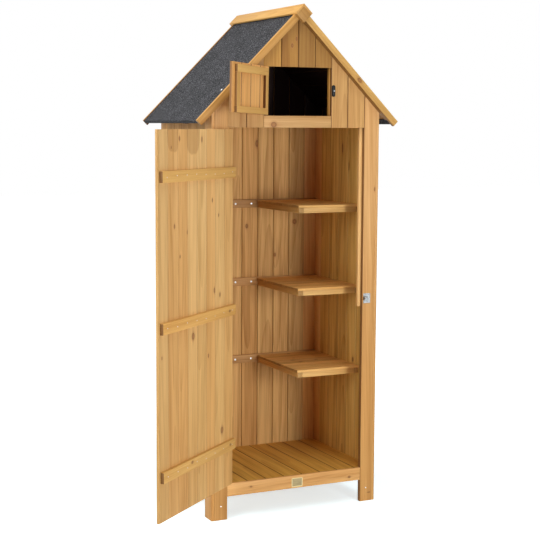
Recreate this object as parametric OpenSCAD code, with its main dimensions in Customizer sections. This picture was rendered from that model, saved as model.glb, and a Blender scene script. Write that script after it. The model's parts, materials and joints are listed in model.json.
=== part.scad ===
// Tall narrow wooden tool shed with a gabled felt roof, a full-height front door and a small loft door.
// X runs across the front, Y runs from the front to the back and Z runs up from the ground.
// The origin is on the ground, under the middle of the shed's body. All sizes are in millimetres.

/* [Body] */
// Width of the body across the side walls
body_w = 651; // [600:1:720]
// Depth of the body from the front face to the back face
body_d = 482; // [440:1:580]
// Height from the ground to the top of the ridge
total_h = 1790; // [1740:5:1900]
// Thickness of the wall boards
wall_t = 11; // [8:0.5:14]
// Clear height of the legs under the walls
leg_h = 82; // [50:1:110]
// Depth of the upright board at each end of a side wall, which runs down as a leg
stile_d = 62; // [45:1:80]
// Width of the upright board at each end of the back wall, which runs down as a leg
back_post_w = 48; // [28:1:60]

/* [Front] */
// Width of the post beside the doorway
post_w = 49; // [40:1:64]
// Thickness of the post beside the doorway
post_t = 17; // [14:1:26]
// Height of the sill board under the doorway
sill_h = 46; // [30:1:60]
// Depth of the front gable's lower edge below the top of the side walls
gable_drop = 77; // [55:1:95]
// Width of the loft opening
loft_w = 262; // [220:2:300]
// Height of the board under the loft opening
loft_sill_h = 41; // [30:1:60]
// Height of the boards over the loft opening, at their middle
loft_head = 183; // [160:1:210]
// Width of the part of the door's stop strip that shows in the doorway
stop_w = 12; // [8:0.5:16]
// Width of the part of the loft door's stop strip that shows in its opening
loft_stop_w = 8; // [5:0.5:14]
// Thickness of a stop strip from front to back
stop_t = 13; // [9:0.5:18]
// Length of the door's stop strip, which hangs from the gable
stop_l = 643; // [400:1:900]

/* [Roof] */
// Pitch of the roof in degrees
roof_pitch = 45; // [43:0.5:47]
// Width of the roof across the ends of the verges
roof_w = 778; // [740:2:820]
// Depth of a verge, square to the slope
verge_h = 24; // [22:0.5:34]
// Length by which the roof stands past the body at the front and at the back
roof_over = 25; // [18:1:34]
// Width of the upper edge of a verge at the front, beside the felt
verge_t = 14; // [8:1:17]
// Width of the upper edge of a verge at the back, beside the felt
verge_back_t = 8; // [6:1:17]
// Depth of the felt's face below the upper edge of the verges
felt_set = 3; // [1:0.5:5]
// Thickness of the felt
felt_t = 2; // [1.5:0.5:3]
// Thickness of the roof boards under the felt
roof_t = 9.5; // [8:0.5:11]
// Clearance between the walls' slanted tops and the roof boards
wall_fit = 0.1; // [0.05:0.05:0.5]
// Length of the felt that is folded under the eaves
felt_fold = 30; // [15:1:40]
// Width of a ridge board, measured down its upper face
ridge_w = 46; // [38:1:60]
// Thickness of a ridge board
ridge_t = 7; // [6:0.5:14]
// Length by which the ridge stands past the verges at each end
ridge_over = 18; // [10:1:30]

/* [Floor and loft] */
// Thickness of the floor boards
floor_t = 10; // [8:0.5:14]
// Width of a bearer under the floor
bearer_w = 20; // [14:1:30]
// Height of a bearer under the floor
bearer_h = 34; // [24:1:34]
// Thickness of the loft floor
loft_floor_t = 10; // [8:0.5:14]
// Height of the rail behind the lower edge of the gable
head_rail_h = 24; // [18:1:30]
// Thickness of the rail behind the lower edge of the gable
head_rail_t = 18; // [12:1:24]

/* [Shelves] */
// Height of the upper face of the lowest shelf
shelf_z = 487; // [400:1:520]
// Clear height from the top shelf to the loft floor
shelf_head = 310; // [250:1:360]
// Width of a shelf from the right wall
shelf_w = 256; // [200:1:300]
// Distance of a shelf's front edge from the back wall
shelf_d = 365; // [300:1:420]
// Thickness of the shelf boards
shelf_t = 8; // [6:0.5:12]
// Length by which the shelf boards overhang their frame
shelf_lip = 3; // [1:0.5:8]
// Width of the battens of a shelf frame
batten_w = 19; // [12:1:26]
// Height of the battens of a shelf frame
batten_h = 20; // [16:1:34]
// Height of a ledge on the back wall
ledge_h = 31; // [24:1:45]
// Height by which a ledge on the back wall stands over its shelf
ledge_up = 4; // [0:0.5:8]
// Thickness of a ledge on the back wall
ledge_t = 12; // [8:0.5:16]

/* [Front door] */
// Angle by which the front door stands open, in degrees
door_open = 140; // [90:1:170]
// Thickness of the front door's boards
door_t = 9; // [7:0.5:11]
// Gap beside the door at its hinges
hinge_gap = 6; // [5:0.5:9]
// Gap beside the door at its free edge
free_gap = 8; // [6:0.5:12]
// Gap over and under the door
end_gap = 5.5; // [5:0.5:9]
// Gap between the closed door and its stop strip
stop_gap = 5; // [5:0.5:8]
// Height of a ledge across the door
door_ledge_h = 36; // [25:1:50]
// Thickness of a ledge across the door
door_ledge_t = 12; // [7:0.5:14]
// Gap between a ledge's end and the stop strip when the door is closed
ledge_gap = 6; // [5:0.5:10]
// Distance from an end of the door to the middle of the ledge nearest to it
ledge_end = 145; // [90:1:220]

/* [Hinges and fittings] */
// Distance of the hinge axis in front of the front face
pivot_out = 6; // [5.5:0.5:8]
// Radius of a hinge knuckle
knuckle_r = 4.5; // [4:0.25:5]
// Radius of a hinge pin
pin_r = 2; // [1.5:0.25:2.5]
// Radial clearance of a hinge pin
pin_fit = 0.05; // [0.02:0.01:0.1]
// Thickness of a hinge leaf
leaf_t = 2.5; // [2:0.25:3]
// Width of a hinge leaf from the hinge axis
leaf_w = 30; // [22:1:40]
// Height of a front door hinge
door_hinge_h = 65; // [50:1:90]
// Height of a loft door hinge
loft_hinge_h = 36; // [26:1:50]
// Gap between the knuckles of a hinge
knuckle_gap = 0.5; // [0.3:0.1:1]
// Height of the bolt above the middle of the door
bolt_rise = 7; // [-40:1:60]
// Radius of the bolt's rod
bolt_r = 3.5; // [2.5:0.25:4]
// Distance of the bolt's base plate from the door's free edge
bolt_in = 26; // [8:1:60]
// Length of the bolt's base plate
bolt_plate_l = 85; // [60:1:110]
// Height of the bolt's base plate
bolt_plate_h = 28; // [20:1:40]
// Thickness of the bolt's and the keeper's base plates
plate_t = 1.5; // [1:0.25:2]
// Width of the keeper's base plate
keeper_w = 28; // [22:1:36]
// Height of the keeper's base plate
keeper_h = 35; // [26:1:44]
// Distance of the keeper from the post's inner edge
keeper_in = 4; // [2:0.5:10]
// Clearance of the bolt's rod in its keeper
bolt_fit = 0.8; // [0.4:0.1:1.2]
// Gap between the bolt's base plate and its rod
rod_lift = 1; // [0.5:0.25:2]
// Radius of the bolt's knob
knob_r = 2.8; // [2:0.2:3.4]
// Distance of the turn button from the edge of the loft opening
button_in = 1; // [0:0.5:6]
// Height of the turn button above the middle of the loft opening
button_rise = 4; // [-20:1:20]
// Width of the turn button beside the loft opening
button_w = 14; // [10:0.5:18]
// Height of the turn button beside the loft opening
button_h = 41; // [30:1:50]
// Thickness of the turn button
button_t = 6; // [4:0.5:8]

/* [Loft door] */
// Angle by which the loft door stands open, in degrees
loft_open = 143; // [90:1:165]
// Angle by which the loft door's free edge hangs high, in degrees
loft_lift = 1.7; // [0:0.1:2.5]
// Thickness of the loft door's boards
loft_door_t = 9; // [7:0.5:11]
// Gap round the loft door in its opening
loft_gap = 2; // [1:0.5:5]
// Width of the battens framing the loft door's inner face
loft_batten_w = 19; // [16:1:26]
// Thickness of the battens framing the loft door's inner face
loft_batten_t = 10; // [8:0.5:14]
// Distance of that frame from the loft door's free edge
loft_frame_in = 19; // [12:1:40]
// Distance of that frame from the loft door's hinge edge
loft_frame_hinge_in = 21; // [14:1:30]
// Distance of that frame from the loft door's upper edge
loft_frame_drop = 7; // [4:1:20]

/* [Hidden] */
$fn = 48;

pine = [0.83, 0.66, 0.42];
pine_inside = [0.66, 0.48, 0.27];
felt_grey = [0.33, 0.34, 0.36];
steel = [0.72, 0.72, 0.70];
black = [0.08, 0.08, 0.08];

// The roof's upper edge, along the slope
apex_z = total_h - ridge_t / cos(roof_pitch);
slope_l = roof_w / 2 / cos(roof_pitch);
roof_top_n = felt_set + felt_t;
roof_low_n = roof_top_n + roof_t;
wall_top_n = roof_low_n + wall_fit;
ridge_seat_l = ridge_w - ridge_t * tan(roof_pitch);
backing_l = slope_l - felt_fold - felt_t;

// The faces of the body
front_y = -body_d / 2;
back_y = body_d / 2;
roof_y = back_y + roof_over;
roof_front_y = -roof_y + verge_t;
roof_back_y = roof_y - verge_back_t;
outer_x = body_w / 2;
inner_x = outer_x - wall_t;
open_x = inner_x - post_w;
inner_back_y = back_y - wall_t;
gable_back_y = front_y + wall_t;
sill_top = leg_h + sill_h;
gable_z = roof_z(inner_x, wall_top_n) - gable_drop;
stop_z = gable_z - stop_l;

// The loft opening
loft_x = loft_w / 2;
loft_z = gable_z + loft_sill_h;
loft_top = roof_z(0, wall_top_n) - loft_head;
loft_h = loft_top - loft_z;

// The shelves
shelf_step = (loft_z - loft_floor_t - shelf_head - shelf_z) / 2;
shelf_x = inner_x - shelf_w;
shelf_y = inner_back_y - shelf_d;
ledge_y = inner_back_y - ledge_t;

// The front door when it is closed
door_x0 = -open_x + hinge_gap;
door_x1 = open_x - free_gap;
door_z0 = sill_top + end_gap;
door_z1 = gable_z - end_gap;
door_pivot = [-open_x + hinge_gap / 2, front_y - pivot_out];
door_stop_y = front_y + door_t + stop_gap;
door_ledge_x1 = open_x - stop_w - ledge_gap;
door_middle_z = (door_z0 + door_z1) / 2;
door_hinge_z = [door_z0 + ledge_end, door_middle_z, door_z1 - ledge_end];
axis_gap = knuckle_r + knuckle_gap;

// The loft door when it is closed
loft_door_x0 = -loft_x + loft_gap;
loft_door_x1 = loft_x - loft_gap;
loft_door_z0 = loft_z + loft_gap;
loft_door_z1 = loft_top - loft_gap;
loft_pivot = [-loft_x + loft_gap / 2, front_y - pivot_out];
loft_hinge_z = [for (i = [1, 3]) loft_door_z0 + (loft_door_z1 - loft_door_z0) * i / 4];

// The bolt's rod runs past the door's face at the height of the keeper's loop
bolt_z = door_middle_z + bolt_rise;
rod_y = front_y - plate_t - rod_lift - bolt_r;
loop_r = bolt_r + bolt_fit;
loop_wall = 2.5;
keeper_x0 = open_x + keeper_in;
button_x = loft_x + button_in + button_w / 2;
button_z = loft_z + loft_h / 2 + button_rise;

// Height of a plane that lies n below the roof's upper edge, at a distance x from the middle
function roof_z(x, n) = apex_z - abs(x) * tan(roof_pitch) - n / cos(roof_pitch);

// A point s down the slope from the apex and n below the roof's upper edge, on the right
function on_slope(s, n) = [
    s * cos(roof_pitch) - n * sin(roof_pitch),
    apex_z - s * sin(roof_pitch) - n * cos(roof_pitch)
];

// Distance down the slope at which a plane n below the upper edge meets the middle of the roof
function mitre(n) = n * tan(roof_pitch);

// A block given by its lowest and highest corners
module block(low, high) {
    translate(low)
        cube(high - low);
}

// An outline in X and Z, run from y0 to y1
module run_back(y0, y1) {
    translate([0, y1, 0])
        rotate([90, 0, 0])
            linear_extrude(y1 - y0)
                children();
}

// A layer of the right slope between two depths, ending s_end down the slope
module slope_layer(n0, n1, s_end, y0, y1) {
    run_back(y0, y1)
        polygon([
            on_slope(mitre(n0), n0),
            on_slope(s_end, n0),
            on_slope(s_end, n1),
            on_slope(mitre(n1), n1)
        ]);
}

// An upright slab between x0 and x1 from z0 up to the underside of the roof
module under_roof(x0, x1, z0, y0, y1) {
    crown = x0 * x1 < 0 ? [[0, roof_z(0, wall_top_n)]] : [];
    run_back(y0, y1)
        polygon(concat(
            [[x0, z0], [x1, z0], [x1, roof_z(x1, wall_top_n)]],
            crown,
            [[x0, roof_z(x0, wall_top_n)]]
        ));
}

module other_side() {
    mirror([1, 0, 0])
        children();
}

// A post is a board up to the roof, backed by a shorter one as far as the gable
module front_post_right() {
    color(pine) {
        under_roof(open_x, inner_x, 0, front_y, gable_back_y);
        block([open_x, gable_back_y, 0], [inner_x, front_y + post_t, gable_z]);
    }
}

module front_post_left() {
    other_side()
        front_post_right();
}

// The stiles and the walls
module front_stile_right() {
    color(pine)
        under_roof(inner_x, outer_x, 0, front_y, front_y + stile_d);
}

module front_stile_left() {
    other_side()
        front_stile_right();
}

module rear_stile_right() {
    color(pine)
        under_roof(inner_x, outer_x, 0, back_y - stile_d, back_y);
}

module rear_stile_left() {
    other_side()
        rear_stile_right();
}

module back_post_right() {
    color(pine)
        under_roof(inner_x - back_post_w, inner_x, 0, inner_back_y, back_y);
}

module back_post_left() {
    other_side()
        back_post_right();
}

module right_wall() {
    color(pine)
        under_roof(inner_x, outer_x, leg_h, front_y + stile_d, back_y - stile_d);
}

module left_wall() {
    other_side()
        right_wall();
}

module back_wall() {
    wall_x = inner_x - back_post_w;
    color(pine)
        under_roof(-wall_x, wall_x, leg_h, inner_back_y, back_y);
}

// The front over and under the doorway
module front_sill() {
    color(pine)
        block([-open_x, front_y, leg_h], [open_x, gable_back_y, sill_top]);
}

module gable_right() {
    color(pine)
        under_roof(loft_x, open_x, gable_z, front_y, gable_back_y);
}

module gable_left() {
    other_side()
        gable_right();
}

module gable_top() {
    color(pine)
        under_roof(-loft_x, loft_x, loft_top, front_y, gable_back_y);
}

module loft_sill() {
    color(pine)
        block([-loft_x, front_y, gable_z], [loft_x, gable_back_y, loft_z]);
}

module head_rail() {
    rail_top = loft_z - loft_floor_t;
    color(pine)
        block([-inner_x, gable_back_y, rail_top - head_rail_h], [inner_x, gable_back_y + head_rail_t, rail_top]);
}

// The floors and what carries them
module floor() {
    back_of_posts = front_y + post_t;
    color(pine_inside)
        translate([0, 0, sill_top - floor_t])
            linear_extrude(floor_t)
                polygon([
                    [-open_x, gable_back_y],
                    [open_x, gable_back_y],
                    [open_x, back_of_posts],
                    [inner_x, back_of_posts],
                    [inner_x, inner_back_y],
                    [-inner_x, inner_back_y],
                    [-inner_x, back_of_posts],
                    [-open_x, back_of_posts]
                ]);
}

module floor_bearer_right() {
    bearer_top = sill_top - floor_t;
    color(pine_inside)
        block(
            [inner_x - bearer_w, front_y + post_t, bearer_top - bearer_h],
            [inner_x, inner_back_y, bearer_top]
        );
}

module floor_bearer_left() {
    other_side()
        floor_bearer_right();
}

module loft_floor() {
    color(pine_inside)
        block([-inner_x, gable_back_y, loft_z - loft_floor_t], [inner_x, inner_back_y, loft_z]);
}

function shelf_top_z(i) = shelf_z + i * shelf_step;

// One ledge behind the back edge of each shelf, and one under the loft floor
module back_ledges() {
    tops = concat([for (i = [0 : 2]) shelf_top_z(i) + ledge_up], [loft_z - loft_floor_t]);
    color(pine_inside)
        for (top = tops)
            block([-inner_x, ledge_y, top - ledge_h], [inner_x, inner_back_y, top]);
}

// The shelves in the right-hand half of the cupboard
module shelf(i) {
    color(pine_inside)
        block([shelf_x, shelf_y, shelf_top_z(i) - shelf_t], [inner_x, ledge_y, shelf_top_z(i)]);
}

module shelf_low() {
    shelf(0);
}

module shelf_middle() {
    shelf(1);
}

module shelf_top() {
    shelf(2);
}

// Two side battens and a front batten under a shelf
module shelf_frame(i) {
    x0 = shelf_x + shelf_lip;
    y0 = shelf_y + shelf_lip;
    color(pine_inside)
        translate([0, 0, shelf_top_z(i) - shelf_t - batten_h])
            linear_extrude(batten_h)
                polygon([
                    [x0, y0],
                    [inner_x, y0],
                    [inner_x, ledge_y],
                    [inner_x - batten_w, ledge_y],
                    [inner_x - batten_w, y0 + batten_w],
                    [x0 + batten_w, y0 + batten_w],
                    [x0 + batten_w, ledge_y],
                    [x0, ledge_y]
                ]);
}

module shelf_frame_low() {
    shelf_frame(0);
}

module shelf_frame_middle() {
    shelf_frame(1);
}

module shelf_frame_top() {
    shelf_frame(2);
}

// The roof
module roof_right() {
    color(pine)
        slope_layer(roof_top_n, roof_low_n, slope_l - felt_t, roof_front_y, roof_back_y);
}

module roof_left() {
    other_side()
        roof_right();
}

// One sheet of felt over the ridge, turned down at the eaves and folded under them
module roof_felt() {
    fold_n = roof_low_n + felt_t;
    fold_s = slope_l - felt_fold;
    half = [
        on_slope(mitre(felt_set), felt_set),
        on_slope(slope_l, felt_set),
        on_slope(slope_l, fold_n),
        on_slope(fold_s, fold_n),
        on_slope(fold_s, roof_low_n),
        on_slope(slope_l - felt_t, roof_low_n),
        on_slope(slope_l - felt_t, roof_top_n),
        on_slope(mitre(roof_top_n), roof_top_n)
    ];
    last = len(half) - 2;
    color(felt_grey)
        run_back(roof_front_y, roof_back_y)
            polygon(concat(half, [for (i = [last : -1 : 1]) [-half[i].x, half[i].y]]));
}

// A verge is a strip beside the felt, backed under the roof boards as far as the wall
module verge_front_right() {
    color(pine) {
        slope_layer(0, verge_h, slope_l, -roof_y, roof_front_y);
        slope_layer(wall_top_n, verge_h, backing_l, roof_front_y, front_y);
    }
}

module verge_front_left() {
    other_side()
        verge_front_right();
}

module verge_back_right() {
    color(pine) {
        slope_layer(0, verge_h, slope_l, roof_back_y, roof_y);
        slope_layer(wall_top_n, verge_h, backing_l, back_y, roof_back_y);
    }
}

module verge_back_left() {
    other_side()
        verge_back_right();
}

module ridge_right() {
    ridge_end_y = roof_y + ridge_over;
    color(pine)
        slope_layer(-ridge_t, 0, ridge_seat_l, -ridge_end_y, ridge_end_y);
}

module ridge_left() {
    other_side()
        ridge_right();
}

// A square block on edge closes the ridge at each end
module ridge_ends() {
    side = on_slope(ridge_seat_l, 0);
    color(pine)
        for (y0 = [-roof_y - ridge_over, roof_y])
            run_back(y0, y0 + ridge_over)
                polygon([[0, apex_z], side, [0, 2 * side.y - apex_z], [-side.x, side.y]]);
}

// Strips that the doors close against
module door_stop() {
    color(pine)
        block([open_x - stop_w, door_stop_y, stop_z], [open_x, door_stop_y + stop_t, gable_z]);
}

module loft_stop() {
    color(pine)
        block([loft_x - loft_stop_w, gable_back_y, loft_z], [loft_x + stop_w, gable_back_y + stop_t, loft_top]);
}

// Turns what is drawn closed to the angle at which a door stands open
module swung(pivot, angle) {
    translate([pivot.x, pivot.y, 0])
        rotate([0, 0, -angle])
            translate([-pivot.x, -pivot.y, 0])
                children();
}

module door_swung() {
    swung(door_pivot, door_open)
        children();
}

// Hangs the loft door a little high at its free edge
module loft_swung() {
    middle_z = (loft_door_z0 + loft_door_z1) / 2;
    swung(loft_pivot, loft_open)
        translate([loft_pivot.x, 0, middle_z])
            rotate([0, -loft_lift, 0])
                translate([-loft_pivot.x, 0, -middle_z])
                    children();
}

// One knuckle about a vertical axis, with the tab that joins it to a leaf on the side given by sign
module knuckle(pivot, z0, z1, sign) {
    tab_x = pivot.x + sign * (axis_gap + leaf_t);
    translate([pivot.x, pivot.y, z0])
        cylinder(r = knuckle_r, h = z1 - z0);
    block(
        [min(pivot.x, tab_x), front_y - leaf_t, z0],
        [max(pivot.x, tab_x), front_y, z1]
    );
}

// The flat of a leaf, clear of the other leaf's knuckle
module leaf(pivot, z, h, sign) {
    near_x = pivot.x + sign * axis_gap;
    far_x = pivot.x + sign * leaf_w;
    block(
        [min(near_x, far_x), front_y - leaf_t, z - h / 2],
        [max(near_x, far_x), front_y, z + h / 2]
    );
}

// A third of a hinge's height holds the moving knuckle
function knuckle_half(h) = h / 6;

module fixed_leaf(pivot, z, h) {
    leaf(pivot, z, h, -1);
    knuckle(pivot, z - h / 2, z - knuckle_half(h) - knuckle_gap, -1);
    knuckle(pivot, z + knuckle_half(h) + knuckle_gap, z + h / 2, -1);
    translate([pivot.x, pivot.y, z - h / 2])
        cylinder(r = pin_r, h = h);
}

module moving_leaf(pivot, z, h) {
    difference() {
        union() {
            leaf(pivot, z, h, 1);
            knuckle(pivot, z - knuckle_half(h), z + knuckle_half(h), 1);
        }
        translate([pivot.x, pivot.y, z - h])
            cylinder(r = pin_r + pin_fit, h = 2 * h);
    }
}

module post_hinges() {
    color(steel)
        for (z = door_hinge_z)
            fixed_leaf(door_pivot, z, door_hinge_h);
}

module door_hinges() {
    color(steel)
        door_swung()
            for (z = door_hinge_z)
                moving_leaf(door_pivot, z, door_hinge_h);
}

// The front door
module door_boards() {
    color(pine)
        door_swung()
            block([door_x0, front_y, door_z0], [door_x1, front_y + door_t, door_z1]);
}

module door_ledges() {
    ledge_y0 = front_y + door_t;
    color(pine)
        door_swung()
            for (z = door_hinge_z)
                block(
                    [door_x0, ledge_y0, z - door_ledge_h / 2],
                    [door_ledge_x1, ledge_y0 + door_ledge_t, z + door_ledge_h / 2]
                );
}

// A barrel bolt on the door's outer face, drawn back from the door's free edge
module door_bolt() {
    plate_x1 = door_x1 - bolt_in;
    plate_x0 = plate_x1 - bolt_plate_l;
    guide_w = bolt_plate_l / 8;
    guide_h = 4 * bolt_r;
    knob_x = (plate_x0 + plate_x1) / 2;
    color(steel)
        door_swung() {
            block(
                [plate_x0, front_y - plate_t, bolt_z - bolt_plate_h / 2],
                [plate_x1, front_y, bolt_z + bolt_plate_h / 2]
            );
            for (x = [plate_x0 + guide_w, plate_x1 - 2 * guide_w])
                block(
                    [x, rod_y - bolt_r - plate_t, bolt_z - guide_h / 2],
                    [x + guide_w, front_y - plate_t / 2, bolt_z + guide_h / 2]
                );
            translate([plate_x0, rod_y, bolt_z])
                rotate([0, 90, 0])
                    cylinder(r = bolt_r, h = bolt_plate_l);
            translate([knob_x, rod_y, bolt_z - 4 * bolt_r])
                cylinder(r = knob_r, h = 4 * bolt_r);
        }
}

// A plate with a raised loop that takes the bolt's rod
module bolt_keeper() {
    loop_l = keeper_w / 2;
    color(steel)
        difference() {
            union() {
                block(
                    [keeper_x0, front_y - plate_t, bolt_z - keeper_h / 2],
                    [keeper_x0 + keeper_w, front_y, bolt_z + keeper_h / 2]
                );
                intersection() {
                    translate([keeper_x0, rod_y, bolt_z])
                        rotate([0, 90, 0])
                            cylinder(r = loop_r + loop_wall, h = loop_l);
                    block(
                        [keeper_x0, rod_y - 2 * loop_r - loop_wall, bolt_z - keeper_h / 2],
                        [keeper_x0 + loop_l, front_y - plate_t / 2, bolt_z + keeper_h / 2]
                    );
                }
            }
            translate([keeper_x0 - loop_l, rod_y, bolt_z])
                rotate([0, 90, 0])
                    cylinder(r = loop_r, h = 3 * loop_l);
        }
}

// An oval button that turns across the closed loft door
module turn_button() {
    end_z = (button_h - button_w) / 2;
    color(black)
        run_back(front_y - button_t, front_y)
            union() {
                for (z = [button_z - end_z, button_z + end_z])
                    translate([button_x, z])
                        circle(d = button_w);
                translate([button_x - button_w / 2, button_z - end_z])
                    square([button_w, 2 * end_z]);
            }
}

// The loft door
module loft_door_boards() {
    color(pine)
        loft_swung()
            block([loft_door_x0, front_y, loft_door_z0], [loft_door_x1, front_y + loft_door_t, loft_door_z1]);
}

module loft_door_frame() {
    low = [loft_door_x0 + loft_frame_hinge_in, front_y + loft_door_t, loft_door_z0];
    high = [loft_door_x1 - loft_frame_in, front_y + loft_door_t + loft_batten_t, loft_door_z1 - loft_frame_drop];
    rim = [loft_batten_w, 0, loft_batten_w];
    through = [0, loft_batten_t, 0];
    color(pine)
        loft_swung()
            difference() {
                block(low, high);
                block(low + rim - through, high - rim + through);
            }
}

module loft_hinges() {
    color(steel)
        for (z = loft_hinge_z) {
            fixed_leaf(loft_pivot, z, loft_hinge_h);
            loft_swung() {
                leaf(loft_pivot, z, loft_hinge_h, 1);
                knuckle(loft_pivot, z - knuckle_half(loft_hinge_h), z + knuckle_half(loft_hinge_h), 1);
            }
        }
}

front_post_left();
front_post_right();
front_stile_left();
front_stile_right();
rear_stile_left();
rear_stile_right();
back_post_left();
back_post_right();
left_wall();
right_wall();
back_wall();
front_sill();
gable_left();
gable_right();
gable_top();
loft_sill();
head_rail();
floor();
floor_bearer_left();
floor_bearer_right();
loft_floor();
back_ledges();
shelf_low();
shelf_middle();
shelf_top();
shelf_frame_low();
shelf_frame_middle();
shelf_frame_top();
roof_left();
roof_right();
roof_felt();
verge_front_left();
verge_front_right();
verge_back_left();
verge_back_right();
ridge_left();
ridge_right();
ridge_ends();
door_stop();
loft_stop();
bolt_keeper();
turn_button();
post_hinges();
loft_door_boards();
loft_door_frame();
loft_hinges();
door_boards();
door_ledges();
door_hinges();
door_bolt();
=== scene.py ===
import json
import math
import random

import bmesh
import bpy
from mathutils import Matrix, Vector

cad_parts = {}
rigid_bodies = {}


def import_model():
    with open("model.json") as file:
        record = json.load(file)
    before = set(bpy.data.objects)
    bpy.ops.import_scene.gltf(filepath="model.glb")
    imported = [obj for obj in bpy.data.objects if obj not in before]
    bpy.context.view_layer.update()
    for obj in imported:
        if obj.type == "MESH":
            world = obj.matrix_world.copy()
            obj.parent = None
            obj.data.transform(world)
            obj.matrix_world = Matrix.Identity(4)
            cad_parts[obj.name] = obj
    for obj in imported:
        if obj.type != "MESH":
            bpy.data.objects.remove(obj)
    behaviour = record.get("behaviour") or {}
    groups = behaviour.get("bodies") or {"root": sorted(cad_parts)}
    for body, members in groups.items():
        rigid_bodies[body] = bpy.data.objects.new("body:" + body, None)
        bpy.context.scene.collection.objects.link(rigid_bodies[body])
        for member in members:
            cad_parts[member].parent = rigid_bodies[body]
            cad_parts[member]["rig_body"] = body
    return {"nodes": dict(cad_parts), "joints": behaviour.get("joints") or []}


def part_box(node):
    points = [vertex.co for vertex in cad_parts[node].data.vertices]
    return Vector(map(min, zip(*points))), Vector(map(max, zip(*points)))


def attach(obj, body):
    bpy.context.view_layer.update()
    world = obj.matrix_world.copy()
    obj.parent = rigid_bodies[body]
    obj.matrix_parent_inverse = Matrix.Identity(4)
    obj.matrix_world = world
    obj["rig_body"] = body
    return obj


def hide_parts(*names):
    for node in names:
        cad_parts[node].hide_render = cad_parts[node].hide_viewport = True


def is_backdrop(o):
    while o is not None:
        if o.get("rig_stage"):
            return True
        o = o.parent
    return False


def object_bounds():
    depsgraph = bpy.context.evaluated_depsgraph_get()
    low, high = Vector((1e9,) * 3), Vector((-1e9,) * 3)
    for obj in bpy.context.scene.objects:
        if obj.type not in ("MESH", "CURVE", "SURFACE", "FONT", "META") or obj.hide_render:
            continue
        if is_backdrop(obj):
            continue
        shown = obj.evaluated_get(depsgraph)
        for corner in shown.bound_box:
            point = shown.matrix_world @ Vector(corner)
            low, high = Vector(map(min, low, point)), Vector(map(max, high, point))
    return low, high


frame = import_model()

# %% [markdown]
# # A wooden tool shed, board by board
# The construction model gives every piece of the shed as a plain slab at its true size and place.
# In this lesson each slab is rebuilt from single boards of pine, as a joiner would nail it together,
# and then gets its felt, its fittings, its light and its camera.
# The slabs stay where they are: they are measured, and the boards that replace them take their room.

mm = 0.001
scene = bpy.context.scene
scene.view_settings.view_transform = "Standard"
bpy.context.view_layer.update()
luck = random.Random(11)

# %% [markdown]
# ## The camera
# The photograph was taken from a little left of the shed, about as high as its top shelf.
# A camera could be aimed by eye, but here its place, turn and lens were solved from edges of the shed,
# so they are plain numbers. The lens has no shift, so the shed stays in the picture from other sides too.

# %% The camera
camera_spot = (-2.0351, -4.3009, 1.3776)
camera_yaw = math.radians(25.43)
camera_pitch = math.radians(-6.388)
camera_roll = math.radians(0.2922)
camera_lens = 86.48
aim = (
    Matrix.Rotation(-camera_yaw, 4, "Z")
    @ Matrix.Rotation(math.radians(90) + camera_pitch, 4, "X")
    @ Matrix.Rotation(camera_roll, 4, "Z")
)
bpy.ops.object.camera_add(location=camera_spot, rotation=aim.to_euler())
scene.camera = bpy.context.object
scene.camera.data.lens = camera_lens
scene.camera.data.sensor_width = 36
print("camera at", camera_spot)

# %% [markdown]
# ## Measuring a slab
# A board has its own three directions: across its width, through its thickness and along its grain.
# The slab's points, written in those directions, give the corner where the first board starts and
# the size of the whole panel. Measuring keeps the boards true to the slab, also on a sloping roof
# or on a door that stands open.

# %% Measuring a slab of the construction model
def points(name):
    return [v.co for v in frame["nodes"][name].data.vertices]


def measured(spots, along, through):
    along = Vector(along).normalized()
    through = Vector(through).normalized()
    axes = Matrix((through.cross(along), through, along))
    local = [axes @ spot for spot in spots]
    low = Vector([min(p[i] for p in local) for i in range(3)])
    high = Vector([max(p[i] for p in local) for i in range(3)])
    place = axes.transposed().to_4x4()
    place.translation = axes.transposed() @ low
    return place, high - low


def slab(name, along, through):
    return measured(points(name), along, through)


def levels(name, direction):
    return sorted({round(Vector(direction).dot(spot), 4) for spot in points(name)})


def part_of(panel, low, high):
    place, size = panel
    low = Vector([size[i] if v is None else v for i, v in enumerate(low)])
    high = Vector([size[i] if v is None else v for i, v in enumerate(high)])
    return place @ Matrix.Translation(low), high - low


right, back, up = Vector((1, 0, 0)), Vector((0, 1, 0)), Vector((0, 0, 1))
left, front, down = -right, -back, -up
pitch = math.radians(45)
fall_right = Vector((math.cos(pitch), 0, -math.sin(pitch)))
fall_left = Vector((-math.cos(pitch), 0, -math.sin(pitch)))
out_right = Vector((math.sin(pitch), 0, math.cos(pitch)))
out_left = Vector((-math.sin(pitch), 0, math.cos(pitch)))
roof_under = min(out_right.dot(spot) for spot in points("roof_right")) - 0.1 * mm
roof_cuts = [(out_right * roof_under, out_right), (out_left * roof_under, out_left)]
print("underside of the roof boards at the middle:", round(roof_under / math.cos(pitch), 4))

# %% [markdown]
# ## Shader nodes in short
# A finish is a small network of nodes. Two helpers keep the networks readable:
# one adds any node and fills or links its sockets, the other adds a Math node.
# Colours are written as they are read, from 0 to 255, and turned into the linear light
# that shaders count in.

# %% Helpers for shader nodes
def linear(value):
    value = value / 255
    return value / 12.92 if value <= 0.04045 else ((value + 0.055) / 1.055) ** 2.4


def colour(red, green, blue):
    return (linear(red), linear(green), linear(blue), 1)


def node(tree, kind, inputs, **settings):
    made = tree.nodes.new(kind)
    for key, value in settings.items():
        setattr(made, key, value)
    for key, value in inputs.items():
        if isinstance(value, bpy.types.NodeSocket):
            tree.links.new(value, made.inputs[key])
        else:
            made.inputs[key].default_value = value
    return made


def calc(tree, operation, *values):
    return node(tree, "ShaderNodeMath", dict(enumerate(values)), operation=operation).outputs[0]


def mixed(tree, factor, first, second, how="MIX"):
    sockets = {0: factor, 6: first, 7: second}
    return node(tree, "ShaderNodeMix", sockets, data_type="RGBA", blend_type=how).outputs[2]


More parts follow.
